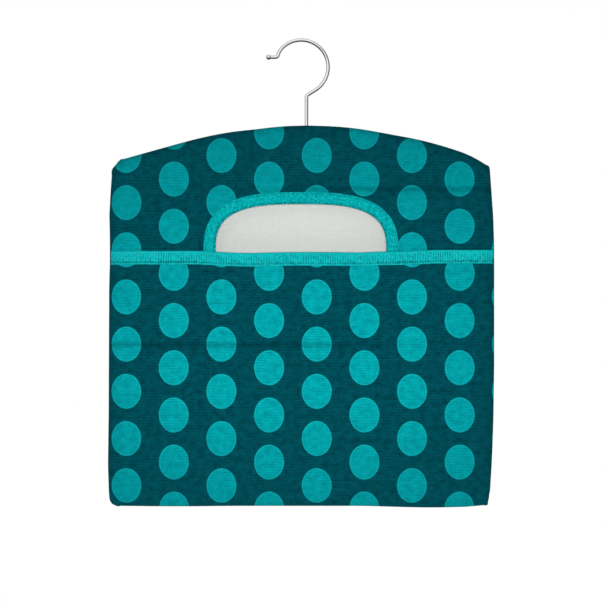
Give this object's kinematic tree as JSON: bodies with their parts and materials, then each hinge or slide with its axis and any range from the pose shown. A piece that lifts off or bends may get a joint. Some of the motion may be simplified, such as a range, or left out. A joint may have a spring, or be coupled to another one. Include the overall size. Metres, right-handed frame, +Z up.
{
  "type": "peg bag",
  "caption": "Flat lined cloth peg bag with a bound D-shaped mouth above a banded pocket, sewn round a hanger bar and hung by a swivelling wire hook.",
  "frame": {"origin": "on the hook's swivel axis, where a washing line touches the inside of the hook's crown", "axes": "+Z up along the shank, -Y to the front with the mouth, +X to the right as seen from the front"},
  "size_m": [0.3418, 0.0261, 0.4151],
  "materials": {
    "hook_wire": "bright nickel plate on round steel wire",
    "zinc_plate": "satin zinc plate",
    "beech": "plain sanded beech",
    "printed_cotton": "slubbed cotton, dark teal with a turquoise print",
    "lining_cotton": "plain off-white cotton",
    "turquoise_tape": "ribbed turquoise tape",
    "overlock_thread": "overlocked cloth edges"
  },
  "bodies": {
    "hook": {"hook": "hook_wire", "hook_washer": "zinc_plate"},
    "bag": {"hanger_bar": "beech", "yoke_panel": "printed_cotton", "pocket_panel": "printed_cotton", "back_panel": "printed_cotton", "yoke_lining": "lining_cotton", "pocket_lining": "lining_cotton", "back_lining": "lining_cotton", "mouth_binding": "turquoise_tape", "pocket_band": "turquoise_tape", "left_side_seam": "overlock_thread", "right_side_seam": "overlock_thread", "bottom_seam": "overlock_thread", "top_seam_left": "overlock_thread", "top_seam_right": "overlock_thread"}
  },
  "joints": [
    {"name": "hook_swivel", "type": "hinge", "parent": "hook", "child": "bag", "pos_m": [0, 0, -0.0936], "axis": [0, 0, 1], "continuous": true}
  ]
}
